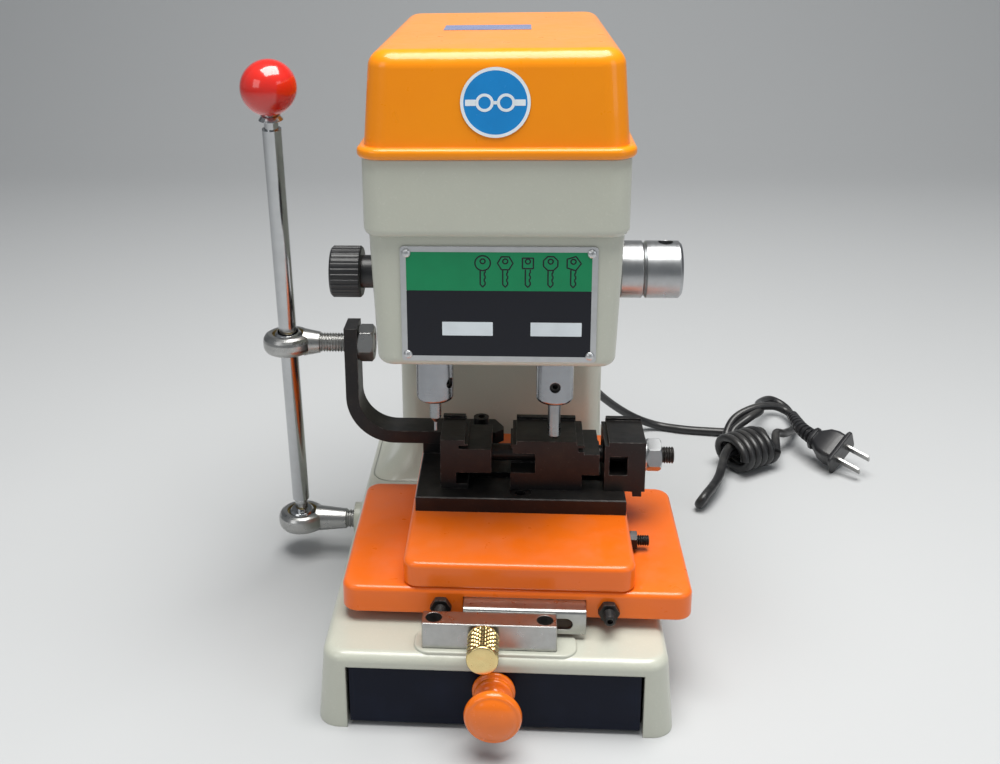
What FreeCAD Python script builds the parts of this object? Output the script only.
import FreeCAD, Part

import math
import os

# Key duplicating machine, bench top.  Millimetres, +Z up, the front faces -Y.
# The origin is on the bench, under the middle of the base.
# One function makes one node, and MODEL at the end lists them all.

V = FreeCAD.Vector
UP = V(0, 0, 1)
RIGHT = V(1, 0, 0)
BACK = V(0, 1, 0)

# ---------------------------------------------------------------- driving dimensions
RUN = 0.04                      # radial clearance of a running fit
GAP = 0.5                       # clearance between plates that slide past each other
THREAD_DEPTH = 0.50             # depth of a thread, as a share of its pitch
SCREW_PITCH = 1.25
STUD_PITCH = 1.5
ROD_END_PITCH = 1.75

# base
BASE_HALF_FOOT = 94.0
BASE_HALF_TOP = 90.0
BASE_FRONT = -140.0
BASE_REAR = 140.0
BASE_TOP = 45.0
BASE_WALL = 8.0
DRAWER_HALF = 77.5              # half width of the drawer opening
DRAWER_OPENING_TOP = 37.0
DRAWER_FRONT = -138.5
KNOB_Z = 25.5
BAR_SCREW_Y = -128.5
THUMB_X = -5.4
THUMB_Z = 54.5

# slides
TABLE_FRONT = -111.0
LOWER_LEFT = -83.0
LOWER_RIGHT = 105.0
LOWER_REAR = 9.0
LOWER_BOTTOM = 51.5
LOWER_TOP = 67.0
UPPER_LEFT = -49.5
UPPER_RIGHT = 74.5
UPPER_REAR = 54.0
UPPER_BOTTOM = LOWER_TOP + GAP
UPPER_TOP = 82.0
DOVETAIL_HEIGHT = 8.0
DOVETAIL_NECK = 18.0            # half width where the way leaves its plate
DOVETAIL_FLARE = 4.0
GIB = 4.0
X_WAY_Y = -52.0                 # centre line of the way that runs left to right
Y_WAY_X = 12.5                  # centre line of the way that runs front to back
X_GIB_SCREWS = (-28.9, 60.4)
X_GIB_Z = 57.0
X_GIB_START = -122.2
Y_GIB_SCREWS = (-66.0, 30.0)
Y_GIB_Z = 73.0
GIB_SCREW_R = 3.0
GIB_NUT = 10.0
GIB_NUT_HEIGHT = 4.0

# head and column
HEAD_FRONT = -91.0
HEAD_BOTTOM = 186.0
HEAD_STEP = 257.0               # where the head widens under the cover
HEAD_TOP = 297.0
HEAD_REAR = 128.0
HEAD_HALF = 67.0
COLUMN_FRONT = 64.0
CAVITY_HALF = 57.0
CAVITY_FRONT = -84.0
CAVITY_REAR = 121.0
FLOOR_TOP = 196.0
PLATE_BOTTOM = 290.0
PLATE_TOP = 295.0
COVER_TOP = 350.0
LOCK_Y = -42.0
LOCK_Z = 223.0
POST_Y = (-55.0, -29.0)
SWITCH_X0 = 56.0
SWITCH_X1 = HEAD_HALF
SWITCH_Y0 = 86.0
SWITCH_Y1 = 106.0
SWITCH_Z0 = 150.0
SWITCH_Z1 = 178.0

# spindles
SPINDLE_Y = -42.0
CUTTER_X = 32.3
TRACER_X = -35.4
CHUCK_R = 10.5
CHUCK_END = 147.5
CHUCK_ROUNDING = 2.5
CUTTER_TIP = 123.5
TRACER_TIP = 127.5
CUTTER_R = 3.6
TRACER_R = 3.3
TRACER_PIN_R = 1.0
SHANK_END = CHUCK_END + 25
SET_SCREW_Z = 159.0
SET_SCREW_R = 3.0
SET_SCREW_SINK = 1.6             # how far a chuck's set screw sits below the surface
TRACER_SCREW_TURN = -31.0        # degrees from +X
SPLINE_R = 6.0

# hidden drive
MOTOR_Y = 79.0
MOTOR_R = 39.0
PULLEY_Z = 305.0
MOTOR_PULLEY_R = 18.0
SPINDLE_PULLEY_R = 14.0
BELT_THICK = 2.5
CARRIAGE_BOTTOM = 198.0
CARRIAGE_TOP = 256.0

# feed
PINION_Y = -8.5
PINION_Z = 215.0
MODULE = 1.5
PINION_TEETH = 12
PITCH_R = MODULE * PINION_TEETH / 2
RACK_PITCH_Y = PINION_Y - PITCH_R
HUB_R = 16.5
HUB_X0 = 68.5
HUB_X1 = 104.0
HANDLE_HOLE_X = 95.0
HANDLE_HOLE_R = 4.25

# vise
VISE_TOP = 91.0
JAW_FRONT = -43.0
JAW_REAR = -9.0
JAW_TOP = 121.8
LIP_TOP = 123.3
STUD_Y = -27.0
STUD_Z = 107.0
STUD_R = 4.9
STUD_START = -31.5
STUD_END = 102.5
JAW_WASHER_X = 84.85
CLAMP_NUT_X = 86.4
VISE_SCREWS = ((13.2, -46.2), (-11.0, 12.0), (57.0, 11.0))

# lever
LOWER_PIVOT = V(-132.0, 35.0, 26.0)
UPPER_PIVOT = V(-129.95, 11.5, 160.5)
ROD_R = 5.5
EYE_R = 15.5
BALL_R = 10.0
LEVER_TOP = 321.5
BRACKET_X = -93.9
BRACKET_THICK = 8.0

# lead and plug
CABLE_EXIT = V(30.0, HEAD_REAR + 1.7, 104.0)
CABLE_R = 3.2
BUNDLE = V(186, 173, 15.5)       # middle of the tied bundle
BUNDLE_TURN = math.radians(34)
BUNDLE_LOOPS = 5
BUNDLE_WIDE = 15.0
BUNDLE_TALL = 11.5
PLUG_START = V(238.3, 186.9, 20)
PLUG_HEADING = (0.71, -0.681, -0.18)
PLUG_ROLL = 145.0
PLUG_LENGTH = 26.0
PLUG_HALF = 15.5
BLADE_OFFSET = 6.35
BLADE_LENGTH = 18.5


# ---------------------------------------------------------------- shape helpers
def box(x0, x1, y0, y1, z0, z1):
    return Part.makeBox(x1 - x0, y1 - y0, z1 - z0, V(x0, y0, z0))


def rod(radius, start, end):
    """A plain cylinder between two points."""
    axis = end - start
    return Part.makeCylinder(radius, axis.Length, start, axis)


def post(x, y, radius, z0, z1):
    return rod(radius, V(x, y, z0), V(x, y, z1))


def cone(start, end, r_start, r_end):
    axis = end - start
    return Part.makeCone(r_start, r_end, axis.Length, start, axis)


def rounded_wire(x0, x1, y0, y1, z, r):
    """A rectangle with round corners, level at height z."""
    corners = [(x1 - r, y0 + r, 270), (x1 - r, y1 - r, 0), (x0 + r, y1 - r, 90), (x0 + r, y0 + r, 180)]
    arcs = []
    for cx, cy, start in corners:
        circle = Part.Circle(V(cx, cy, z), UP, r)
        arcs.append(Part.Arc(circle, math.radians(start), math.radians(start + 90)).toShape())
    edges = []
    for i, arc in enumerate(arcs):
        following = arcs[(i + 1) % len(arcs)]
        edges.append(arc)
        edges.append(Part.makeLine(arc.Vertexes[-1].Point, following.Vertexes[0].Point))
    return Part.Wire(edges)


def rounded_block(x0, x1, y0, y1, z0, z1, r):
    face = Part.Face(rounded_wire(x0, x1, y0, y1, z0, r))
    return face.extrude(V(0, 0, z1 - z0))


def loft(*wires):
    return Part.makeLoft(list(wires), True, True)


def edges_at(shape, test):
    """The edges whose every vertex passes the test."""
    return [e for e in shape.Edges if e.Vertexes and all(test(v.Point) for v in e.Vertexes)]


def fillet_at_z(shape, z, r):
    return shape.makeFillet(r, edges_at(shape, lambda p: abs(p.z - z) < 1e-4))


def polygon(points):
    return Part.Face(Part.makePolygon([V(*p) for p in points + points[:1]]))


def fuse(first, *others):
    return first.fuse(list(others)).removeSplitter()


def cut(first, *tools):
    return first.cut(list(tools))


def revolve(profile, base, axis):
    """Turn a closed profile, given as (distance along the axis, radius) pairs, about an axis."""
    points = [V(r, 0, a) for a, r in profile]
    face = Part.Face(Part.makePolygon(points + points[:1]))
    solid = face.revolve(V(0, 0, 0), UP, 360)
    solid.Placement = FreeCAD.Placement(base, FreeCAD.Rotation(UP, axis))
    return solid


def threaded(radius, start, end, pitch):
    """A rod whose thread is cut as plain rings."""
    length = (end - start).Length
    root = radius - THREAD_DEPTH * pitch
    profile = [(0, 0), (0, root)]
    for i in range(int(length / pitch)):
        low = i * pitch
        profile += [(low + 0.40 * pitch, radius), (low + 0.60 * pitch, radius), (low + pitch, root)]
    profile += [(length, root), (length, 0)]
    return revolve(profile, start, end - start)


def hexagon(centre, axis, across_flats, height, turn=0.0):
    """A hexagonal prism that starts at centre and runs along the axis."""
    r = across_flats / math.sqrt(3)
    corners = [math.radians(60 * i + turn) for i in range(7)]
    points = [V(r * math.cos(a), r * math.sin(a), 0) for a in corners]
    prism = Part.Face(Part.makePolygon(points)).extrude(V(0, 0, height))
    bevel = height * 0.16
    round_off = revolve([(0, 0), (0, r - bevel), (bevel, r + 0.2), (height - bevel, r + 0.2),
                         (height, r - bevel), (height, 0)], V(0, 0, 0), UP)
    prism = prism.common(round_off)
    prism.Placement = FreeCAD.Placement(centre, FreeCAD.Rotation(UP, axis))
    return prism


def nut(centre, axis, across_flats, height, bore_r, turn=0.0):
    body = hexagon(centre, axis, across_flats, height, turn)
    return cut(body, rod(bore_r, centre - axis, centre + axis * (height + 1)))


def socket_screw(seat, axis, shank_r, length, head_r, head_height):
    """A cap screw: the shank runs from the seat along the axis and the head stands behind it."""
    shank = rod(shank_r, seat, seat + axis * length)
    head = rod(head_r, seat - axis * head_height, seat)
    top = seat - axis * head_height
    socket = hexagon(top - axis * 0.1, axis, head_r * 0.98, head_height * 0.6)
    return cut(fuse(head, shank), socket)


def set_screw(start, axis, radius, length, thread=0.0):
    """A headless screw with a hexagon socket in its start, and its thread shown over the first stretch."""
    body = rod(radius, start + axis * thread, start + axis * length)
    if thread:
        body = fuse(body, threaded(radius, start, start + axis * (thread + 0.01), SCREW_PITCH))
    return cut(body, hexagon(start - axis * 0.1, axis, radius * 1.05, radius))


def group(*solids):
    return Part.makeCompound(list(solids))


def spring(x, y, radius, wire_r, z0, z1, turns):
    """A round-wire compression spring, standing on z0."""
    height = z1 - z0 - 2 * wire_r
    helix = Part.makeHelix(height / turns, height, radius)
    helix.translate(V(x, y, z0 + wire_r))
    profile = Part.Wire([Part.makeCircle(wire_r, V(x + radius, y, z0 + wire_r), BACK)])
    return Part.Wire(helix.Edges).makePipeShell([profile], True, True)


def dovetail(length0, length1, centre, z0, height, along_x, clearance=0.0, extra=0.0):
    """A dovetail bar, wider at its top.  extra widens one side, for the gib."""
    neck = DOVETAIL_NECK + clearance
    top = neck + DOVETAIL_FLARE * height / DOVETAIL_HEIGHT
    section = [(-neck - extra, z0), (neck, z0), (top, z0 + height), (-top - extra, z0 + height)]
    if along_x:
        face = polygon([(length0, centre + a, z) for a, z in section])
        return face.extrude(V(length1 - length0, 0, 0))
    face = polygon([(centre - a, length0, z) for a, z in section])
    return face.extrude(V(0, length1 - length0, 0))


# ---------------------------------------------------------------- base and drawer
def base_casting():
    outer = loft(rounded_wire(-BASE_HALF_FOOT, BASE_HALF_FOOT, BASE_FRONT, BASE_REAR, 0, 12),
                 rounded_wire(-BASE_HALF_TOP, BASE_HALF_TOP, BASE_FRONT, BASE_REAR - 2, BASE_TOP, 12))
    outer = fillet_at_z(outer, BASE_TOP, 5)
    inner = box(-BASE_HALF_TOP + BASE_WALL, BASE_HALF_TOP - BASE_WALL, BASE_FRONT + BASE_WALL,
                BASE_REAR - BASE_WALL - 2, -1, DRAWER_OPENING_TOP + 1)
    opening = box(-DRAWER_HALF, DRAWER_HALF, BASE_FRONT - 1, BASE_FRONT + BASE_WALL + 1, -1, DRAWER_OPENING_TOP)
    bar_pad = fillet_at_z(rounded_block(-42, 43, -137.5, -116, BASE_TOP - 1, BASE_TOP + 1.2, 8), BASE_TOP + 1.2, 0.8)
    way_foot = box(-70, 70, X_WAY_Y - 26, X_WAY_Y + 26, BASE_TOP - 1, LOWER_BOTTOM - GAP)
    way = dovetail(-70, 70, X_WAY_Y, LOWER_BOTTOM - GAP - 0.01, DOVETAIL_HEIGHT, True)
    pivot_boss = rod(11, V(-BASE_HALF_TOP + BASE_WALL - 8, LOWER_PIVOT.y, LOWER_PIVOT.z),
                     V(-BASE_HALF_FOOT - 2, LOWER_PIVOT.y, LOWER_PIVOT.z))
    solid = fuse(cut(outer, inner, opening), bar_pad, way_foot, way, pivot_boss)
    holes = [rod(6.0, V(-70, LOWER_PIVOT.y, LOWER_PIVOT.z), V(-100, LOWER_PIVOT.y, LOWER_PIVOT.z))]
    for x, y in column_bolt_places():
        holes.append(post(x, y, 4.3, 30, 50))
    for x in bar_screw_places():
        holes.append(post(x, BAR_SCREW_Y, 2.6, 30, 50))
    return cut(solid, *holes)


def column_bolt_places():
    return [(x, y) for x in (-52, 52) for y in (78, 116)]


def bar_screw_places():
    return (-31.5, 26.4)


def drawer_tray():
    front = box(-76, 76, DRAWER_FRONT, DRAWER_FRONT + 1.5, 3.2, 36.2)
    outer = box(-73, 73, -137.01, -30, 5, 33)
    inner = box(-71.8, 71.8, -135.8, -31.2, 6.2, 40)
    hole = rod(2.6, V(0, -140, KNOB_Z), V(0, -130, KNOB_Z))
    return cut(fuse(front, cut(outer, inner)), hole)


def bottom_plate():
    """A sheet that closes the base from below.  The tray slides on its two raised ribs."""
    sheet = box(-81.5, 81.5, -130, 129, 0, 1.5)
    ribs = [box(x - 4, x + 4, -128, 0, 1.4, 4.9) for x in (-56, 56)]
    return fuse(sheet, *ribs)


def drawer_knob():
    body = revolve([(0, 0), (0, 10.5), (1.2, 11.2), (2.8, 11.2), (4.2, 9.6), (7.5, 6.6), (12, 6.2), (15, 7.4),
                    (17.5, 11.5), (19.5, 14.0), (21.5, 14.8), (23.5, 14.4), (25.5, 12.6), (27.2, 9.2),
                    (28.2, 5.2), (28.6, 0)], V(0, DRAWER_FRONT, KNOB_Z), V(0, -1, 0))
    return cut(body, rod(2.0, V(0, -138, KNOB_Z), V(0, -152, KNOB_Z)))


# ---------------------------------------------------------------- lock bar at the front
def stop_bar():
    bar = box(-37.5, 32.5, -134.5, -122.5, BASE_TOP + 1.2, 61)
    bar = bar.makeChamfer(0.5, bar.Edges)
    holes = [rod(3.0 + RUN, V(THUMB_X, -136, THUMB_Z), V(THUMB_X, -121, THUMB_Z))]
    for x in bar_screw_places():
        holes.append(post(x, BAR_SCREW_Y, 4.35, 50, 62))
        holes.append(post(x, BAR_SCREW_Y, 2.7, 40, 62))
    return cut(bar, *holes)


def thumb_screw():
    shank = rod(3.0, V(THUMB_X, -136, THUMB_Z), V(THUMB_X, -118.2, THUMB_Z))
    head = revolve([(0, 0), (0, 8.2), (20.2, 8.2), (21.0, 7.4), (21.0, 0)], V(THUMB_X, -134.9, THUMB_Z), V(0, -1, 0))
    return fuse(head, shank)


def slide_lock_plate():
    """The slotted angle plate that hangs from the lower table behind the bar."""
    flange = box(-16.5, 48, -121.8, -97, 59.8, 62.3)
    leg = box(-16.5, 48, -121.8, -119.3, 48.6, 62.3)
    plate = fuse(flange, leg)
    plate = plate.makeFillet(2.2, edges_at(plate, lambda p: abs(p.y + 121.8) < 1e-4 and abs(p.z - 62.3) < 1e-4))
    slot_r = 3.3
    slot_left = THUMB_X - 5.0
    slot_right = 37.7
    slot = fuse(rod(slot_r, V(slot_left, -125, THUMB_Z), V(slot_left, -116, THUMB_Z)),
                rod(slot_r, V(slot_right, -125, THUMB_Z), V(slot_right, -116, THUMB_Z)),
                box(slot_left, slot_right, -125, -116, THUMB_Z - slot_r, THUMB_Z + slot_r))
    return cut(plate, slot)


# ---------------------------------------------------------------- tables
def lower_table():
    plate = rounded_block(LOWER_LEFT, LOWER_RIGHT, TABLE_FRONT, LOWER_REAR, LOWER_BOTTOM, LOWER_TOP, 9)
    plate = fillet_at_z(plate, LOWER_TOP, 3)
    plate = fillet_at_z(plate, LOWER_BOTTOM, 1)
    way = dovetail(-96, -4, Y_WAY_X, LOWER_TOP - 0.01, DOVETAIL_HEIGHT, False)
    # the groove is wider at the front by the gib
    groove = dovetail(LOWER_LEFT - 1, LOWER_RIGHT + 1, X_WAY_Y, LOWER_BOTTOM - GAP, DOVETAIL_HEIGHT + GAP, True,
                      0.05, GIB)
    notch = box(-17, 48.5, TABLE_FRONT - 1, -96, LOWER_BOTTOM - 1, 62.4)
    tools = [groove, notch]
    for x in X_GIB_SCREWS:
        tools.append(rod(GIB_SCREW_R + RUN, V(x, TABLE_FRONT - 1, X_GIB_Z), V(x, X_WAY_Y - 18, X_GIB_Z)))
    return cut(fuse(plate, way), *tools)


def gib(length0, length1, centre, z0, along_x):
    """A slanted strip that takes up the play on one side of a dovetail."""
    lean = DOVETAIL_FLARE / DOVETAIL_HEIGHT
    low = z0 + 0.6
    high = z0 + DOVETAIL_HEIGHT - 0.4
    near = DOVETAIL_NECK + 0.03
    section = [(-near - lean * (low - z0), low), (-near - lean * (high - z0), high),
               (-near - lean * (high - z0) - GIB + 0.1, high), (-near - lean * (low - z0) - GIB + 0.1, low)]
    if along_x:
        return polygon([(length0, centre + a, z) for a, z in section]).extrude(V(length1 - length0, 0, 0))
    return polygon([(centre - a, length0, z) for a, z in section]).extrude(V(0, length1 - length0, 0))


def x_gib():
    strip = gib(LOWER_LEFT + 6, LOWER_RIGHT - 6, X_WAY_Y, LOWER_BOTTOM - GAP, True)
    solids = []
    for x in X_GIB_SCREWS:
        strip = cut(strip, rod(GIB_SCREW_R + 0.2, V(x, -100, X_GIB_Z), V(x, X_WAY_Y - 24.85, X_GIB_Z)))
        length = X_WAY_Y - 24.9 - X_GIB_START
        solids.append(set_screw(V(x, X_GIB_START, X_GIB_Z), BACK, GIB_SCREW_R, length, 10.0))
        place = V(x, TABLE_FRONT - GIB_NUT_HEIGHT - 0.1, X_GIB_Z)
        solids.append(nut(place, BACK, GIB_NUT, GIB_NUT_HEIGHT, GIB_SCREW_R + RUN))
    return group(strip, *solids)


def upper_table():
    plate = rounded_block(UPPER_LEFT, UPPER_RIGHT, TABLE_FRONT, UPPER_REAR, UPPER_BOTTOM, UPPER_TOP, 8)
    plate = fillet_at_z(plate, UPPER_TOP, 3)
    plate = fillet_at_z(plate, UPPER_BOTTOM, 1)
    # the groove is wider at the right by the gib
    groove = dovetail(TABLE_FRONT + 6, UPPER_REAR + 1, Y_WAY_X, LOWER_TOP, DOVETAIL_HEIGHT + GAP, False, 0.05, GIB)
    tools = [groove]
    for y in Y_GIB_SCREWS:
        tools.append(rod(GIB_SCREW_R + RUN, V(UPPER_RIGHT + 1, y, Y_GIB_Z), V(Y_WAY_X + 20, y, Y_GIB_Z)))
    for x, y in VISE_SCREWS:
        tools.append(post(x, y, 3.1, UPPER_TOP - 5, UPPER_TOP + 1))
    return cut(plate, *tools)


def y_gib():
    strip = gib(TABLE_FRONT + 8, UPPER_REAR - 6, Y_WAY_X, LOWER_TOP, False)
    solids = []
    end = Y_WAY_X + 24.9
    for y in Y_GIB_SCREWS:
        strip = cut(strip, rod(GIB_SCREW_R + 0.2, V(60, y, Y_GIB_Z), V(end - 0.05, y, Y_GIB_Z)))
        start = V(UPPER_RIGHT + 11, y, Y_GIB_Z)
        solids.append(set_screw(start, RIGHT * -1, GIB_SCREW_R, start.x - end, 6.5))
        solids.append(nut(V(UPPER_RIGHT + 0.2, y, Y_GIB_Z), RIGHT, GIB_NUT, GIB_NUT_HEIGHT, GIB_SCREW_R + RUN))
    return group(strip, *solids)


# ---------------------------------------------------------------- vise
def vise_plate():
    plate = box(-47, 73.5, -54.5, 19, UPPER_TOP, VISE_TOP)
    plate = plate.makeChamfer(0.6, edges_at(plate, lambda p: abs(p.z - VISE_TOP) < 1e-4))
    riser = box(-47, -4, 2.5, 19, VISE_TOP, 98)
    tools = []
    for x, y in VISE_SCREWS:
        deep = VISE_TOP - 6.5 if y < 0 else UPPER_TOP
        tools.append(post(x, y, 6.3, deep, 99) if y < 0 else post(x, y, 3.2, deep, 99))
        tools.append(post(x, y, 3.2, UPPER_TOP - 1, 99))
    keyway = box(-34, 73.6, -30, -22, VISE_TOP - 3, VISE_TOP + 1)
    return cut(fuse(plate, riser), keyway, *tools)


def left_jaw():
    body = box(-33, -17, JAW_FRONT, JAW_REAR, VISE_TOP, JAW_TOP)
    lip = box(-33, -19.5, JAW_REAR - 3.5, JAW_REAR, JAW_TOP - 1, LIP_TOP)
    tongue = box(-17.01, -3.5, JAW_FRONT, JAW_REAR, 101.2, 116.2)
    ledge = box(-19, -16.9, JAW_FRONT - 1, JAW_REAR + 1, 119.4, JAW_TOP + 3)
    undercut = box(-22.5, -3, JAW_FRONT - 1, JAW_REAR + 1, 116.2, 118.2)
    foot_slot = box(-24, -16, JAW_FRONT - 1, JAW_REAR + 1, VISE_TOP + 3, 101.2)
    key = box(-33, -24, -29.9, -22.1, VISE_TOP - 2.9, VISE_TOP + 1)
    bore = rod(STUD_R + 0.1, V(STUD_START - 0.1, STUD_Y, STUD_Z), V(0, STUD_Y, STUD_Z))
    return cut(fuse(body, lip, tongue, key), ledge, undercut, foot_slot, bore)


def middle_jaw():
    body = box(7.5, 50, JAW_FRONT, JAW_REAR, VISE_TOP + 0.1, 114)
    top = box(11, 45.5, JAW_FRONT, JAW_REAR, 113.9, JAW_TOP)
    lip = box(11, 46, JAW_REAR - 3.5, JAW_REAR, JAW_TOP - 1, LIP_TOP)
    step = box(45.4, 49.7, JAW_FRONT, JAW_REAR, 113.9, 119.6)
    left_step = box(8.8, 11.1, JAW_FRONT, JAW_REAR, 113.9, 119.6)
    window = box(7, 21.8, JAW_FRONT - 1, -30, 101.8, 114)
    shelf = box(49.9, 58.6, JAW_FRONT, JAW_REAR, VISE_TOP + 10, 114)
    side_notch = box(46.4, 52, JAW_FRONT - 1, JAW_REAR + 1, 115.5, 118)
    foot_slot = box(48.6, 60, JAW_FRONT - 1, JAW_REAR + 1, VISE_TOP, VISE_TOP + 10)
    key = box(14, 44, -29.9, -22.1, VISE_TOP - 2.8, VISE_TOP + 1)
    bore = rod(STUD_R + 0.1, V(0, STUD_Y, STUD_Z), V(70, STUD_Y, STUD_Z))
    return cut(fuse(body, top, lip, step, left_step, shelf, key), window, side_notch, foot_slot, bore)


def right_jaw():
    body = box(63.8, 84.8, JAW_FRONT, JAW_REAR, VISE_TOP + 0.1, JAW_TOP)
    inner = box(61.5, 64, JAW_FRONT, JAW_REAR, VISE_TOP + 0.1, 112)
    lip = box(64, 84.8, JAW_REAR - 3.5, JAW_REAR, JAW_TOP - 1, LIP_TOP)
    step = box(61.5, 64, JAW_FRONT, JAW_REAR, 111.9, 119.6)
    window = box(64.2, 74.6, JAW_FRONT - 1, STUD_Y + 8, 101.3, 113)
    stub = box(78, 83, JAW_FRONT, JAW_REAR, 88, VISE_TOP + 1)
    key = box(66, 73, -29.9, -22.1, VISE_TOP - 2.8, VISE_TOP + 1)
    bore = rod(STUD_R + 0.1, V(60, STUD_Y, STUD_Z), V(90, STUD_Y, STUD_Z))
    return cut(fuse(body, inner, lip, step, stub, key), window, bore)


def clamp_stud():
    """The stud, held in a blind hole of the left jaw."""
    shank = rod(STUD_R, V(STUD_START, STUD_Y, STUD_Z), V(84.51, STUD_Y, STUD_Z))
    end = threaded(STUD_R, V(84.5, STUD_Y, STUD_Z), V(STUD_END, STUD_Y, STUD_Z), STUD_PITCH)
    return fuse(shank, end)


def clamp_nut():
    washer = cut(rod(9.5, V(JAW_WASHER_X, STUD_Y, STUD_Z), V(CLAMP_NUT_X, STUD_Y, STUD_Z)),
                 rod(STUD_R + RUN, V(80, STUD_Y, STUD_Z), V(90, STUD_Y, STUD_Z)))
    body = nut(V(CLAMP_NUT_X, STUD_Y, STUD_Z), RIGHT, 17, 8.6, STUD_R + RUN, -10.0)
    return fuse(washer, body)


def vise_screws():
    """The plate screws; the second also clamps the bent bar."""
    x, y = VISE_SCREWS[0]
    solids = [socket_screw(V(x, y, VISE_TOP - 6.5), V(0, 0, -1), 3.0, 7, 6.1, 6.0)]
    x, y = VISE_SCREWS[1]
    solids.append(socket_screw(V(x, y, 106.1), V(0, 0, -1), 3.0, 28.5, 4.75, 5.9))
    x, y = VISE_SCREWS[2]
    solids.append(socket_screw(V(x, y, VISE_TOP), V(0, 0, -1), 3.0, 13.5, 5.0, 5.5))
    return group(*solids)


# ---------------------------------------------------------------- lever
def lever_bracket():
    """A flat bar, bent to a quarter circle: down beside the head, then in behind the jaws."""
    half = 10.0
    y = UPPER_PIVOT.y
    bend = 30.0
    low = 98.05
    x0 = BRACKET_X
    x1 = BRACKET_X + BRACKET_THICK
    cx = x0 + bend
    cz = low + bend
    inner = bend - BRACKET_THICK
    outer_mid = V(cx - bend * math.cos(math.pi / 4), y, cz - bend * math.sin(math.pi / 4))
    inner_mid = V(cx - inner * math.cos(math.pi / 4), y, cz - inner * math.sin(math.pi / 4))
    top = 172.7
    end = 3.0
    edges = [Part.makeLine(V(x0, y, top), V(x0, y, cz)),
             Part.Arc(V(x0, y, cz), outer_mid, V(cx, y, low)).toShape(),
             Part.makeLine(V(cx, y, low), V(end, y, low)),
             Part.makeLine(V(end, y, low), V(end, y, low + BRACKET_THICK)),
             Part.makeLine(V(end, y, low + BRACKET_THICK), V(cx, y, low + BRACKET_THICK)),
             Part.Arc(V(cx, y, low + BRACKET_THICK), inner_mid, V(x1, y, cz)).toShape(),
             Part.makeLine(V(x1, y, cz), V(x1, y, top)),
             Part.makeLine(V(x1, y, top), V(x0, y, top))]
    face = Part.Face(Part.Wire(edges))
    face.translate(V(0, -half, 0))
    bar = face.extrude(V(0, 2 * half, 0))
    corner = 6.0
    tip = polygon([(end - corner, y - half - 1, low - 1), (end + 1, y - half - 1, low - 1),
                   (end + 1, y - half + corner + 1, low - 1)]).extrude(V(0, 0, 12))
    rear = polygon([(end - 5.6, y + half + 0.1, low - 1), (end + 1, y + half + 0.1, low - 1),
                    (end + 1, y - 1, low - 1), (end, y - 1, low - 1)]).extrude(V(0, 0, 12))
    bar = cut(bar, tip, rear, rod(6.1, V(x0 - 2, y, UPPER_PIVOT.z), V(x1 + 2, y, UPPER_PIVOT.z)))
    sx, sy = VISE_SCREWS[1]
    return cut(bar, post(sx, sy, 3.2, 90, 110))


def rod_end(pivot, thread_end, thread_start, thread_r):
    """An eye with a round seat for its liner, and a threaded shank along +X."""
    rim = [(-6, EYE_R - 3.2), (-5, EYE_R - 1.4), (-3.2, EYE_R - 0.3), (-1.6, EYE_R)]
    mirrored = [(-a, r) for a, r in reversed(rim)]
    eye = revolve([(-6, 0)] + rim + mirrored + [(6, 0)], pivot, UP)
    shoulder = cone(pivot + V(10, 0, 0), V(thread_start, pivot.y, pivot.z), 8.5, thread_r + 0.6)
    start = V(thread_start - 0.1, pivot.y, pivot.z)
    shank = threaded(thread_r, start, V(thread_end, pivot.y, pivot.z), ROD_END_PITCH)
    seat = Part.makeSphere(BALL_R + 1.6, pivot)
    return cut(fuse(eye, shoulder, shank), seat)


def liner(pivot):
    """The race between the eye and the ball: round inside and out, so it can tip in the eye."""
    outer = Part.makeSphere(BALL_R + 1.56, pivot)
    band = box(pivot.x - 20, pivot.x + 20, pivot.y - 20, pivot.y + 20, pivot.z - 4.6, pivot.z + 4.6)
    return cut(outer.common(band), Part.makeSphere(BALL_R + 0.04, pivot))


def upper_rod_end():
    """The eye and the nut that holds it to the bracket."""
    eye = rod_end(UPPER_PIVOT, BRACKET_X + BRACKET_THICK + 9.3, UPPER_PIVOT.x + 20, 5.9)
    centre = V(BRACKET_X + BRACKET_THICK + 0.05, UPPER_PIVOT.y, UPPER_PIVOT.z)
    return group(eye, nut(centre, RIGHT, 20, 9.5, 5.95, -20.0))


def lower_rod_end():
    return rod_end(LOWER_PIVOT, -74, -BASE_HALF_FOOT - 8, 5.9)


def upper_liner():
    return liner(UPPER_PIVOT)


def lower_liner():
    return liner(LOWER_PIVOT)


def lever_axis():
    return (UPPER_PIVOT - LOWER_PIVOT).normalize()


def ball(pivot, bore_r):
    """A bored ball with flats square to the lever's rod."""
    axis = lever_axis()
    slab = rod(BALL_R + 2, pivot - axis * 7.5, pivot + axis * 7.5)
    return cut(Part.makeSphere(BALL_R, pivot).common(slab), rod(bore_r, pivot - axis * 20, pivot + axis * 20))


def upper_ball():
    return ball(UPPER_PIVOT, 6.4)


def lever_rod():
    """The rod, and the ball that is fixed on its lower end."""
    axis = lever_axis()
    knob = LOWER_PIVOT + axis * ((LEVER_TOP - LOWER_PIVOT.z) / axis.z)
    tip = LOWER_PIVOT - axis * 10.5
    body = rod(ROD_R, LOWER_PIVOT + axis * 17, knob - axis * 24)
    thin = rod(4.2, tip, LOWER_PIVOT + axis * 17.1)
    neck = rod(4.0, knob - axis * 24.1, knob - axis * 6)
    collar = cone(knob - axis * 18.5, knob - axis * 16, 7.0, 5.2)
    return group(fuse(body, thin, neck, collar), ball(LOWER_PIVOT, 4.21))


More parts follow.
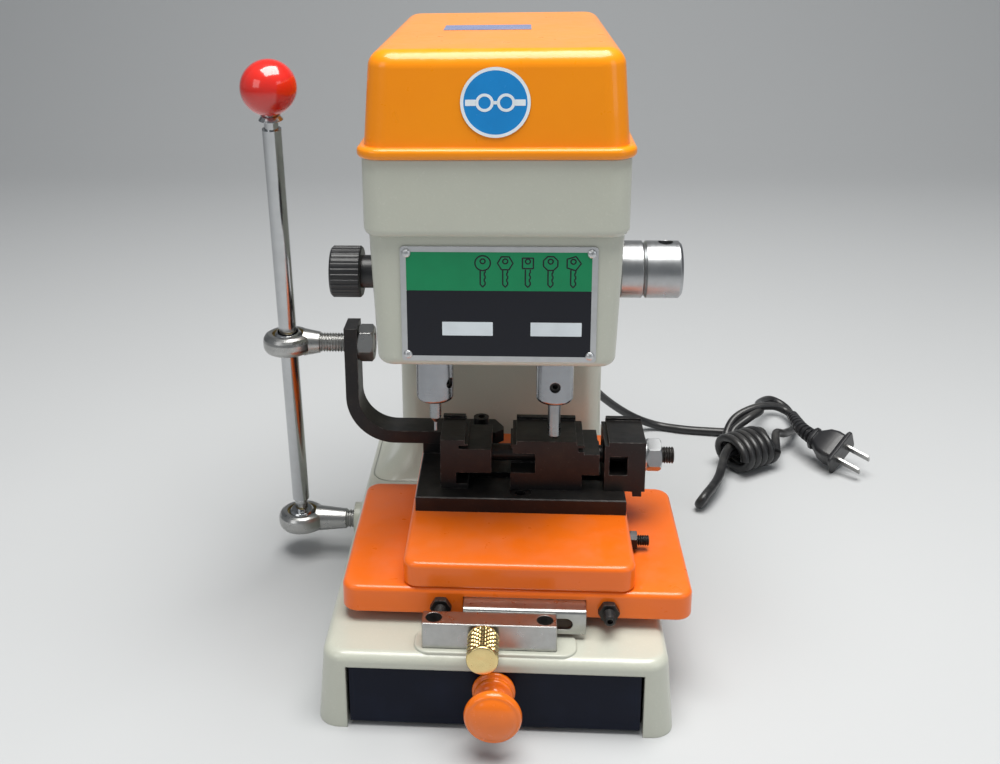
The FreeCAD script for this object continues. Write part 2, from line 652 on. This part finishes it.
def ball_knob():
    axis = lever_axis()
    knob = LOWER_PIVOT + axis * ((LEVER_TOP - LOWER_PIVOT.z) / axis.z)
    sphere = Part.makeSphere(16.0, knob)
    flat = rod(20, knob - axis * 30, knob - axis * 15.0)
    return cut(sphere, flat, rod(4.02, knob - axis * 20, knob - axis * 5.9))


# ---------------------------------------------------------------- column, head and cover
def head_casting():
    foot = Part.makeLoft([rounded_wire(-87, 87, 52, 137, BASE_TOP, 14),
                          rounded_wire(-75, 75, 58, 131, 53, 14),
                          rounded_wire(-69, 69, 62, 129, 64, 13),
                          rounded_wire(-HEAD_HALF, HEAD_HALF, COLUMN_FRONT, HEAD_REAR, 80, 12)], True, False)
    column = rounded_block(-HEAD_HALF, HEAD_HALF, COLUMN_FRONT, HEAD_REAR, 80, HEAD_STEP, 12)
    lower = loft(rounded_wire(-62, 62, HEAD_FRONT, 80, HEAD_BOTTOM, 9),
                 rounded_wire(-65, 65, HEAD_FRONT, 80, HEAD_STEP, 9))
    lower = fillet_at_z(lower, HEAD_BOTTOM, 5)
    upper = rounded_block(-67.2, 67.2, -96, HEAD_REAR, HEAD_STEP, HEAD_TOP, 11)
    upper = fillet_at_z(upper, HEAD_STEP, 4)
    solid = fuse(foot, column, lower, upper)
    tools = [rounded_block(-CAVITY_HALF, CAVITY_HALF, CAVITY_FRONT, CAVITY_REAR, FLOOR_TOP, HEAD_TOP + 1, 6),
             rounded_block(-58, 58, 73, CAVITY_REAR, 62, FLOOR_TOP + 1, 6),
             box(-40, 40, 82, 112, BASE_TOP - 1, 63),
             box(-45, 45, CAVITY_REAR - 1, HEAD_REAR + 5, 94, 182)]
    for x in (TRACER_X, CUTTER_X):
        tools.append(post(x, SPINDLE_Y, CHUCK_R + 2, HEAD_BOTTOM - 1, FLOOR_TOP + 1))
    # slot in the floor for the lower end of the rack
    tools.append(box(4, 20, -25, -13, HEAD_BOTTOM - 1, FLOOR_TOP + 1))
    solid = cut(solid, *tools)
    bosses = [rod(11, V(40, PINION_Y, PINION_Z), V(66.5, PINION_Y, PINION_Z)),
              rod(9, V(-66, LOCK_Y, LOCK_Z), V(-56, LOCK_Y, LOCK_Z))]
    for x, y in plate_screw_places():
        bosses.append(post(x, y, 5, 270, PLATE_BOTTOM))
        bosses.append(box(min(x, x * 1.2), max(x, x * 1.2), y - 5, y + 5, 270, PLATE_BOTTOM))
    solid = fuse(solid, *bosses)
    tools = [rod(7 + RUN, V(30, PINION_Y, PINION_Z), V(80, PINION_Y, PINION_Z)),
             rod(5 + RUN, V(-80, LOCK_Y, LOCK_Z), V(-50, LOCK_Y, LOCK_Z))]
    for y in POST_Y:
        tools.append(post(0, y, 5.02, FLOOR_TOP - 6, FLOOR_TOP + 1))
    for x, y in column_bolt_places():
        tools.append(post(x, y, 4.3, BASE_TOP - 1, 58))
    for x, y in plate_screw_places():
        tools.append(post(x, y, 2.1, 278, PLATE_BOTTOM + 1))
    for x, z in rear_screw_places():
        tools.append(rod(2.1, V(x, HEAD_REAR - 7, z), V(x, HEAD_REAR + 1, z)))
    tools.append(box(SWITCH_X0, SWITCH_X1 + 5, SWITCH_Y0, SWITCH_Y1, SWITCH_Z0, SWITCH_Z1))
    return cut(solid, *tools)


def plate_screw_places():
    return [(x, y) for x in (-50, 50) for y in (-74, 112)]


def rear_screw_places():
    return [(x, z) for x in (-50, 50) for z in (89, 187)]


def rear_cover():
    plate = rounded_block(-56, 56, -54, 54, 0, 1.6, 5)
    plate.rotate(V(0, 0, 0), RIGHT, 90)
    plate.translate(V(0, HEAD_REAR + 1.65, 138))
    tools = [rod(2.2, V(x, HEAD_REAR - 3, z), V(x, HEAD_REAR + 3, z)) for x, z in rear_screw_places()]
    tools.append(rod(6.1, V(CABLE_EXIT.x, HEAD_REAR - 3, CABLE_EXIT.z), V(CABLE_EXIT.x, HEAD_REAR + 3, CABLE_EXIT.z)))
    for row in range(6):
        for x0, x1 in ((-38, -4), (4, 38)):
            z = 132 + row * 7
            tools.append(box(x0, x1, HEAD_REAR - 3, HEAD_REAR + 3, z, z + 2.4))
    return cut(plate, *tools)


def cover_shell(grow, z0, z1):
    return loft(rounded_wire(-66.3 - grow, 66.3 + grow, -96 - grow, 128 + grow, z0, 12 + grow),
                rounded_wire(-62.5 - grow, 62.5 + grow, -93 - grow, 125 + grow, z1, 12 + grow))


def top_cover():
    outer = fillet_at_z(cover_shell(0, HEAD_TOP, COVER_TOP), COVER_TOP, 9)
    bead = rounded_block(-69.4, 69.4, -98.6, 130.6, HEAD_TOP + 0.1, HEAD_TOP + 6, 13)
    bead = bead.makeFillet(2.4, edges_at(bead, lambda p: abs(p.z - HEAD_TOP - 3) > 2.8))
    inner = fillet_at_z(cover_shell(-3, HEAD_TOP - 1, COVER_TOP - 3), COVER_TOP - 3, 6)
    return cut(fuse(outer, bead), inner, box(-80, 80, -110, 140, HEAD_TOP - 2, HEAD_TOP + 0.1))


def cover_labels():
    """A blank foil on the top, and a round sign on the front."""
    foil = rounded_block(-31, 18, 3, 30, COVER_TOP + 0.02, COVER_TOP + 0.3, 0.5)
    lean = math.degrees(math.atan2(3.0, COVER_TOP - HEAD_TOP))
    disc = rod(17, V(0, 0, 0), V(0, -0.5, 0))
    disc.rotate(V(0, 0, 0), RIGHT, -lean)
    disc.translate(V(0, -96 + (325 - HEAD_TOP) * 3.0 / (COVER_TOP - HEAD_TOP) - 0.03, 325))
    return group(foil, disc)


def nameplate():
    plate = rounded_block(-48.5, 51.5, -31, 31, 0, 0.9, 2)
    plate.rotate(V(0, 0, 0), RIGHT, 90)
    plate.translate(V(0, HEAD_FRONT - 0.02, 221))
    return cut(plate, *[rod(1.6, V(x, -95, z), V(x, -85, z)) for x, z in rivet_places()])


def rivet_places():
    return [(x, z) for x in (-45.3, 48.3) for z in (193.6, 248.4)]


def nameplate_rivets():
    rivets = []
    for x, z in rivet_places():
        start = V(x, HEAD_FRONT - 0.93, z)
        head = revolve([(0, 0), (0, 2.4), (0.7, 2.1), (1.3, 1.2), (1.5, 0)], start, V(0, -1, 0))
        rivets.append(fuse(head, rod(1.5, start - V(0, 0.1, 0), V(x, HEAD_FRONT - 0.03, z))))
    return group(*rivets)


def frame_bolts():
    solids = []
    for x, y in column_bolt_places():
        solids.append(socket_screw(V(x, y, 38), UP, 4.0, 19, 6.4, 7))
    for x in bar_screw_places():
        solids.append(socket_screw(V(x, BAR_SCREW_Y, 50), V(0, 0, -1), 2.5, 12, 4.2, 4.5))
    return group(*solids)


def panel_screws():
    solids = []
    for x, y in plate_screw_places():
        solids.append(socket_screw(V(x, y, PLATE_TOP), V(0, 0, -1), 2.0, 14, 3.5, 1.8))
    for x, z in rear_screw_places():
        solids.append(socket_screw(V(x, HEAD_REAR + 1.7, z), V(0, -1, 0), 2.0, 7, 3.6, 2.2))
    for x, y in motor_screw_places():
        solids.append(socket_screw(V(x, y, PLATE_TOP), V(0, 0, -1), 2.0, 10, 3.5, 1.8))
    return group(*solids)


# ---------------------------------------------------------------- drive
def motor_screw_places():
    return [(30 * math.cos(math.radians(a)), MOTOR_Y + 30 * math.sin(math.radians(a))) for a in (45, 135, 225, 315)]


def drive_plate():
    plate = rounded_block(-56.5, 56.5, CAVITY_FRONT + 0.5, CAVITY_REAR - 0.5, PLATE_BOTTOM, PLATE_TOP, 6)
    tools = [post(0, MOTOR_Y, 16, PLATE_BOTTOM - 1, PLATE_TOP + 1),
             post(CUTTER_X, SPINDLE_Y, 10 + RUN, PLATE_BOTTOM - 1, PLATE_TOP + 1),
             rounded_block(-46, -20, -60, -20, PLATE_BOTTOM - 1, PLATE_TOP + 1, 5)]
    for y in POST_Y:
        tools.append(post(0, y, 5.02, PLATE_BOTTOM - 1, PLATE_TOP + 1))
    for x, y in plate_screw_places() + motor_screw_places():
        tools.append(post(x, y, 2.1, PLATE_BOTTOM - 1, PLATE_TOP + 1))
    return cut(plate, *tools)


def guide_posts():
    return group(*[post(0, y, 5.0, FLOOR_TOP - 6, PLATE_TOP + 1) for y in POST_Y])


def motor_housing():
    body = post(0, MOTOR_Y, MOTOR_R, 204, PLATE_BOTTOM - 0.05)
    body = body.makeFillet(4, edges_at(body, lambda p: abs(p.z - 204) < 1e-4))
    shaft = post(0, MOTOR_Y, 6 + RUN, 210, PLATE_BOTTOM)
    bearing = post(0, MOTOR_Y, 14, PLATE_BOTTOM - 1, PLATE_TOP + 0.5)
    bearing = cut(bearing, post(0, MOTOR_Y, 6 + RUN, PLATE_BOTTOM - 2, PLATE_TOP + 1))
    tools = [shaft]
    for x, y in motor_screw_places():
        tools.append(post(x, y, 2.1, 284, PLATE_BOTTOM))
    for i in range(12):
        angle = math.radians(30 * i)
        x = MOTOR_R * math.cos(angle)
        y = MOTOR_Y + MOTOR_R * math.sin(angle)
        tools.append(box(x - 1.2, x + 1.2, y - 1.2, y + 1.2, 214, 280))
    return fuse(cut(body, *tools), bearing)


def pulley(x, y, radius, z, bore_r, hub_r, hub_bottom):
    """A flat belt pulley with flanges, and a hub below it."""
    rim = revolve([(0, 0), (0, radius + 2.5), (1.5, radius + 2.5), (1.5, radius), (11.5, radius),
                   (11.5, radius + 2.5), (13, radius + 2.5), (13, 0)], V(x, y, z), UP)
    hub = post(x, y, hub_r, hub_bottom, z + 0.1)
    return cut(fuse(rim, hub), post(x, y, bore_r, hub_bottom - 1, z + 20))


def motor_rotor():
    """The motor's shaft, with the pulley on its end."""
    shaft = post(0, MOTOR_Y, 6.0, 212, PULLEY_Z + 14)
    wheel = pulley(0, MOTOR_Y, MOTOR_PULLEY_R, PULLEY_Z, 6.01, 10, PLATE_TOP + 2)
    return group(shaft, wheel)


def spindle_pulley():
    """Held by the plate; the spindle slides through its bore."""
    wheel = pulley(CUTTER_X, SPINDLE_Y, SPINDLE_PULLEY_R, PULLEY_Z, SPLINE_R + RUN, 10, PLATE_BOTTOM - 3)
    collar = cut(post(CUTTER_X, SPINDLE_Y, 13, PLATE_TOP + 0.3, PULLEY_Z), post(CUTTER_X, SPINDLE_Y, 9, 280, 320))
    clip = cut(post(CUTTER_X, SPINDLE_Y, 12, PLATE_BOTTOM - 2.6, PLATE_BOTTOM - 0.3),
               post(CUTTER_X, SPINDLE_Y, 9.5, 280, 320))
    return fuse(wheel, collar, clip)


def drive_belt():
    """An open belt: the outline around two circles, less the same outline one thickness in."""
    def outline(grow, z0, z1):
        a = V(0, MOTOR_Y, 0)
        b = V(CUTTER_X, SPINDLE_Y, 0)
        ra = MOTOR_PULLEY_R + grow
        rb = SPINDLE_PULLEY_R + grow
        span = b - a
        heading = math.atan2(span.y, span.x)
        spread = math.acos((ra - rb) / span.Length)
        points = []
        for sign in (1, -1):
            angle = heading + sign * spread
            direction = V(math.cos(angle), math.sin(angle), 0)
            points.append((a + direction * ra, b + direction * rb))
        web = Part.Face(Part.makePolygon([points[0][0], points[0][1], points[1][1], points[1][0], points[0][0]]))
        web = web.extrude(V(0, 0, z1 - z0))
        web.translate(V(0, 0, z0))
        return fuse(web, post(a.x, a.y, ra, z0, z1), post(b.x, b.y, rb, z0, z1))
    return cut(outline(BELT_THICK, PULLEY_Z + 2, PULLEY_Z + 11), outline(0.06, PULLEY_Z + 1, PULLEY_Z + 12))


# ---------------------------------------------------------------- carriage and feed
def carriage():
    block = rounded_block(-54, 54, -64, -20, CARRIAGE_BOTTOM, CARRIAGE_TOP, 5)
    tools = [post(CUTTER_X, SPINDLE_Y, CHUCK_R + 0.5, CARRIAGE_BOTTOM - 1, CARRIAGE_TOP + 1),
             post(CUTTER_X, SPINDLE_Y, 16, CARRIAGE_BOTTOM - 1, CARRIAGE_BOTTOM + 9),
             post(CUTTER_X, SPINDLE_Y, 16, CARRIAGE_TOP - 9, CARRIAGE_TOP + 1),
             post(TRACER_X, SPINDLE_Y, CHUCK_R + RUN, CARRIAGE_BOTTOM - 1, CARRIAGE_TOP - 5)]
    for y in POST_Y:
        tools.append(post(0, y, 5 + RUN, CARRIAGE_BOTTOM - 1, CARRIAGE_TOP + 1))
        tools.append(post(0, y, 8.6, CARRIAGE_BOTTOM - 1, CARRIAGE_TOP - 14))
    return cut(block, *tools)


def rack():
    """A bar with straight-sided teeth towards the pinion."""
    pitch = math.pi * MODULE
    root = RACK_PITCH_Y - 1.25 * MODULE
    tip = RACK_PITCH_Y + MODULE
    half = 0.19 * pitch
    slope = math.tan(math.radians(20))
    bar = box(6, 18, -19.95, root, 188.5, CARRIAGE_TOP)
    teeth = []
    lean_out = (tip - RACK_PITCH_Y) * slope
    lean_in = (RACK_PITCH_Y - root) * slope
    low = int((188.5 - PINION_Z) / pitch)
    for i in range(low, int((CARRIAGE_TOP - PINION_Z) / pitch)):
        z = PINION_Z + i * pitch
        section = [(6, root - 0.1, z - half - lean_in), (6, tip, z - half + lean_out),
                   (6, tip, z + half - lean_out), (6, root - 0.1, z + half + lean_in)]
        teeth.append(polygon(section).extrude(V(12, 0, 0)))
    return fuse(bar, *teeth)


def feed_shaft():
    """The pinion, cut on the end of its shaft.  A gap between two teeth faces the rack."""
    pitch_angle = 2 * math.pi / PINION_TEETH
    root_r = PITCH_R - 1.25 * MODULE
    tip_r = PITCH_R + MODULE
    half = 0.19 * math.pi * MODULE
    slope = math.tan(math.radians(20))
    blank = rod(root_r, V(5, PINION_Y, PINION_Z), V(19, PINION_Y, PINION_Z))
    teeth = []
    for i in range(PINION_TEETH):
        angle = math.pi + (i + 0.5) * pitch_angle
        section = []
        for radius, side in ((root_r - 0.6, -1), (tip_r, -1), (tip_r, 1), (root_r - 0.6, 1)):
            width = half - (radius - PITCH_R) * slope
            along = V(0, math.cos(angle), math.sin(angle)) * radius
            across = V(0, -math.sin(angle), math.cos(angle)) * (side * width)
            point = V(5, PINION_Y, PINION_Z) + along + across
            section.append((point.x, point.y, point.z))
        teeth.append(polygon(section).extrude(V(14, 0, 0)))
    shaft = rod(7.0, V(18.9, PINION_Y, PINION_Z), V(88, PINION_Y, PINION_Z))
    collar = rod(11.0, V(34, PINION_Y, PINION_Z), V(39.9, PINION_Y, PINION_Z))
    return fuse(blank, shaft, collar, *teeth)


def feed_hub():
    split = 84.0
    body = revolve([(0, 0), (0, HUB_R - 1.2), (1.2, HUB_R), (split - HUB_X0 - 2.4, HUB_R),
                    (split - HUB_X0 - 1.2, HUB_R - 1.6), (split - HUB_X0, HUB_R), (HUB_X1 - HUB_X0 - 1.6, HUB_R),
                    (HUB_X1 - HUB_X0, HUB_R - 1.6), (HUB_X1 - HUB_X0, 0)], V(HUB_X0, PINION_Y, PINION_Z), RIGHT)
    bore = rod(7.01, V(HUB_X0 - 1, PINION_Y, PINION_Z), V(88.1, PINION_Y, PINION_Z))
    handle = rod(HANDLE_HOLE_R, V(HANDLE_HOLE_X, PINION_Y, PINION_Z + 2), V(HANDLE_HOLE_X, PINION_Y, PINION_Z + 20))
    lock = rod(3.0, V(76.7, PINION_Y, PINION_Z - 7.2), V(76.7, PINION_Y, PINION_Z - 20))
    return cut(body, bore, handle, lock)


def lock_knob():
    """A fluted knob on a plain neck, with its screw through the head's wall."""
    wheel = revolve([(0, 0), (0, 13.4), (1.0, 14.4), (16.0, 14.4), (17.2, 13.2), (17.2, 0)],
                    V(-74.6, LOCK_Y, LOCK_Z), V(-1, 0, 0))
    neck = rod(9.2, V(-66.2, LOCK_Y, LOCK_Z), V(-74.7, LOCK_Y, LOCK_Z))
    screw = rod(5.0, V(-57.5, LOCK_Y, LOCK_Z), V(-70, LOCK_Y, LOCK_Z))
    flutes = []
    count = 30
    for i in range(count):
        angle = 2 * math.pi * i / count
        offset = V(0, math.cos(angle), math.sin(angle)) * 14.9
        centre = V(-75.5, LOCK_Y, LOCK_Z) + offset
        flutes.append(rod(0.95, centre, centre + V(-18, 0, 0)))
    return fuse(cut(wheel, *flutes), neck, screw)


def lock_pad():
    return rod(4.6, V(-57.4, LOCK_Y, LOCK_Z), V(-54.9, LOCK_Y, LOCK_Z))


def spindle_bearings():
    rings = []
    for z in (CARRIAGE_BOTTOM + 0.5, CARRIAGE_TOP - 8.8):
        ring = cut(post(CUTTER_X, SPINDLE_Y, 15.98, z, z + 8.2), post(CUTTER_X, SPINDLE_Y, 8 + RUN, z - 1, z + 10))
        rings.append(ring)
    return group(*rings)


def chuck(x, top):
    """A round nose with a rounded lower corner."""
    nose = post(x, SPINDLE_Y, CHUCK_R, CHUCK_END, top)
    return nose.makeFillet(CHUCK_ROUNDING, edges_at(nose, lambda p: abs(p.z - CHUCK_END) < 1e-4))


def chuck_screw(x, heading, shank_r):
    """The set screw that comes in along minus heading and presses on a shank."""
    start = V(x, SPINDLE_Y, SET_SCREW_Z) + heading * (CHUCK_R - SET_SCREW_SINK)
    return set_screw(start, heading * -1, SET_SCREW_R, CHUCK_R - SET_SCREW_SINK - shank_r - RUN)


def chuck_screw_hole(x, heading):
    centre = V(x, SPINDLE_Y, SET_SCREW_Z)
    return rod(SET_SCREW_R + RUN, centre + heading * 3, centre + heading * (CHUCK_R + 2))


def cutter_spindle():
    x = CUTTER_X
    body = chuck(x, CARRIAGE_BOTTOM - 0.5)
    journal = post(x, SPINDLE_Y, 8.0, CARRIAGE_BOTTOM - 0.6, CARRIAGE_TOP + 6)
    middle = post(x, SPINDLE_Y, 9.5, CARRIAGE_BOTTOM + 9.2, CARRIAGE_TOP - 9.2)
    spline = post(x, SPINDLE_Y, SPLINE_R, CARRIAGE_TOP + 5.9, 319)
    bore = post(x, SPINDLE_Y, CUTTER_R + 0.01, CHUCK_END - 1, SHANK_END + 1)
    return cut(fuse(body, journal, middle, spline), bore, chuck_screw_hole(x, BACK * -1))


def cutter():
    shoulder = CUTTER_TIP + 2.6
    shank = post(CUTTER_X, SPINDLE_Y, CUTTER_R, shoulder, SHANK_END)
    tip = cone(V(CUTTER_X, SPINDLE_Y, CUTTER_TIP), V(CUTTER_X, SPINDLE_Y, shoulder + 0.01), 0.4, CUTTER_R)
    return fuse(shank, tip)


def cutter_set_screw():
    return chuck_screw(CUTTER_X, BACK * -1, CUTTER_R)


def tracer_chuck():
    """The tracer's holder, which can rise against its spring."""
    x = TRACER_X
    body = chuck(x, CARRIAGE_TOP - 28)
    bore = post(x, SPINDLE_Y, TRACER_R + 0.01, CHUCK_END - 1, SHANK_END + 1)
    hollow = post(x, SPINDLE_Y, 7.5, CARRIAGE_TOP - 50, CARRIAGE_TOP)
    return cut(body, bore, hollow, chuck_screw_hole(x, tracer_screw_heading()))


def tracer_screw_heading():
    turn = math.radians(TRACER_SCREW_TURN)
    return V(math.cos(turn), math.sin(turn), 0)


def tracer_set_screw():
    return chuck_screw(TRACER_X, tracer_screw_heading(), TRACER_R)


def tracer_pin():
    """A round shank that narrows to a thin pin."""
    low = TRACER_TIP + 5.5
    high = TRACER_TIP + 8.5
    shank = post(TRACER_X, SPINDLE_Y, TRACER_R, high, SHANK_END)
    taper = cone(V(TRACER_X, SPINDLE_Y, low), V(TRACER_X, SPINDLE_Y, high + 0.01), TRACER_PIN_R, TRACER_R)
    thin = post(TRACER_X, SPINDLE_Y, TRACER_PIN_R, TRACER_TIP, low + 0.01)
    return fuse(shank, taper, thin)


def tracer_spring():
    return spring(TRACER_X, SPINDLE_Y, 5.6, 0.8, CARRIAGE_TOP - 49.9, CARRIAGE_TOP - 5.2, 8)


def return_springs():
    return group(*[spring(0, y, 6.9, 0.9, FLOOR_TOP + 0.1, CARRIAGE_TOP - 14.2, 8) for y in POST_Y])


# ---------------------------------------------------------------- electric parts
def switch_housing():
    body = box(SWITCH_X0 + 0.1, SWITCH_X1 + 0.02, SWITCH_Y0 + 0.1, SWITCH_Y1 - 0.1, SWITCH_Z0 + 0.1, SWITCH_Z1 - 0.1)
    bezel = box(SWITCH_X1 + 0.02, SWITCH_X1 + 2.2, SWITCH_Y0 - 2, SWITCH_Y1 + 2, SWITCH_Z0 - 2, SWITCH_Z1 + 2)
    well = box(SWITCH_X1 - 7.5, SWITCH_X1 + 5, SWITCH_Y0 + 2.5, SWITCH_Y1 - 2.5, SWITCH_Z0 + 2, SWITCH_Z1 - 2)
    return cut(fuse(body, bezel), well)


def switch_pivot():
    return V(SWITCH_X1 - 1.0, (SWITCH_Y0 + SWITCH_Y1) / 2, (SWITCH_Z0 + SWITCH_Z1) / 2)


def switch_rocker():
    """A rocker with two flats that meet at a shallow angle over the pivot."""
    pivot = switch_pivot()
    reach = 11.0
    y0 = SWITCH_Y0 + 2.9
    y1 = SWITCH_Y1 - 2.9
    section = [(pivot.x - 3.5, y0, pivot.z - 6), (pivot.x + 2.6, y0, pivot.z - reach), (pivot.x + 4.2, y0, pivot.z),
               (pivot.x + 7.2, y0, pivot.z + reach), (pivot.x - 0.5, y0, pivot.z + reach - 1)]
    return polygon(section).extrude(V(0, y1 - y0, 0))


def cable_points():
    """The mains lead: down from the back of the column, then along the bench past the tied bundle."""
    low = CABLE_R + 0.3
    return [CABLE_EXIT + V(0, 4, 0), CABLE_EXIT + V(3, 18, -2), V(56, 174, 78), V(78, 204, 44), V(96, 223, 22),
            V(112, 233, 10), V(128, 238, low + 1.6), V(146, 237, low + 0.4), V(166, 232, low + 0.4),
            V(184, 225, low + 2.2), V(199, 212, 10)]


def pipe(points, radius):
    curve = Part.BSplineCurve()
    curve.interpolate(points)
    start = points[0]
    heading = curve.tangent(curve.FirstParameter)[0]
    profile = Part.Wire([Part.makeCircle(radius, start, heading)])
    return Part.Wire([curve.toShape()]).makePipeShell([profile], True, False)


def mains_cable():
    """The lead, and its spare length: a tied coil and one loose loop."""
    axis = V(math.cos(BUNDLE_TURN), math.sin(BUNDLE_TURN), 0)
    side = V(-axis.y, axis.x, 0)
    steps = 12
    loops = []
    for i in range(BUNDLE_LOOPS * steps + 1):
        angle = 2 * math.pi * i / steps
        along = (i / (BUNDLE_LOOPS * steps) - 0.5) * BUNDLE_LOOPS * (2 * CABLE_R + 0.5)
        centre = BUNDLE + axis * along
        loops.append(centre + side * (BUNDLE_WIDE * math.cos(angle)) + V(0, 0, BUNDLE_TALL * math.sin(angle)))
    far_loop = [V(222, 206, 14), V(236, 232, 9), V(237, 260, 10), V(224, 270, 15), V(210, 250, 20), V(204, 228, 24)]
    return group(pipe(cable_points(), CABLE_R), pipe(loops, CABLE_R), pipe(far_loop, CABLE_R))


def plug_placement():
    """The plug's long axis is its own +Z; its blades stand side by side along its own X."""
    heading = V(*PLUG_HEADING).normalize()
    level = heading.cross(UP).normalize()
    steep = level.cross(heading)
    roll = math.radians(PLUG_ROLL)
    wide = level * math.cos(roll) + steep * math.sin(roll)
    return FreeCAD.Placement(PLUG_START, FreeCAD.Rotation(wide, heading.cross(wide), heading, "ZXY"))


def plug_body():
    """A sleeve, a tapered grip and a wide flange at the blades."""
    relief = revolve([(-8, 0), (-8, CABLE_R + 0.6), (1, CABLE_R + 1.8), (1, 0)], V(0, 0, 0), UP)
    grip = loft(rounded_wire(-7, 7, -6, 6, 0, 4.5), rounded_wire(-11, 11, -8, 8, PLUG_LENGTH - 5, 6))
    flange = rounded_block(-PLUG_HALF, PLUG_HALF, -9, 9, PLUG_LENGTH - 5.01, PLUG_LENGTH, 7)
    solid = fuse(grip, flange, relief)
    solid.Placement = plug_placement()
    return solid


def plug_blades():
    blades = []
    for x in (-BLADE_OFFSET, BLADE_OFFSET):
        blades.append(box(x - 0.8, x + 0.8, -3.2, 3.2, PLUG_LENGTH + 0.02, PLUG_LENGTH + BLADE_LENGTH))
    blades = group(*blades)
    blades.Placement = plug_placement()
    return blades


MODEL = {
    "base_casting": base_casting, "drawer_tray": drawer_tray, "bottom_plate": bottom_plate,
    "drawer_knob": drawer_knob, "stop_bar": stop_bar,
    "thumb_screw": thumb_screw, "slide_lock_plate": slide_lock_plate, "lower_table": lower_table, "x_gib": x_gib,
    "upper_table": upper_table, "y_gib": y_gib, "vise_plate": vise_plate, "left_jaw": left_jaw,
    "middle_jaw": middle_jaw, "right_jaw": right_jaw, "clamp_stud": clamp_stud, "clamp_nut": clamp_nut,
    "vise_screws": vise_screws, "lever_bracket": lever_bracket, "upper_rod_end": upper_rod_end,
    "upper_liner": upper_liner, "upper_ball": upper_ball, "lower_rod_end": lower_rod_end,
    "lower_liner": lower_liner, "lever_rod": lever_rod,
    "ball_knob": ball_knob, "head_casting": head_casting, "rear_cover": rear_cover, "top_cover": top_cover,
    "cover_labels": cover_labels, "nameplate": nameplate, "nameplate_rivets": nameplate_rivets,
    "frame_bolts": frame_bolts, "panel_screws": panel_screws, "drive_plate": drive_plate,
    "guide_posts": guide_posts, "motor_housing": motor_housing, "motor_rotor": motor_rotor,
    "spindle_pulley": spindle_pulley, "drive_belt": drive_belt, "carriage": carriage, "rack": rack,
    "feed_shaft": feed_shaft, "feed_hub": feed_hub, "lock_knob": lock_knob, "lock_pad": lock_pad,
    "spindle_bearings": spindle_bearings, "cutter_spindle": cutter_spindle, "cutter": cutter,
    "cutter_set_screw": cutter_set_screw, "tracer_chuck": tracer_chuck, "tracer_set_screw": tracer_set_screw,
    "tracer_pin": tracer_pin, "tracer_spring": tracer_spring, "return_springs": return_springs,
    "switch_housing": switch_housing, "switch_rocker": switch_rocker, "mains_cable": mains_cable,
    "plug_body": plug_body, "plug_blades": plug_blades,
}

os.makedirs("parts", exist_ok=True)
for name, make in MODEL.items():
    shape = make()
    shape.exportStep(os.path.join("parts", name + ".step"))
    volumes = [round(s.Volume) for s in shape.Solids]
    print(name, "solids", len(shape.Solids), "valid", shape.isValid(), "volume", volumes[:8])
print(len(MODEL), "nodes")
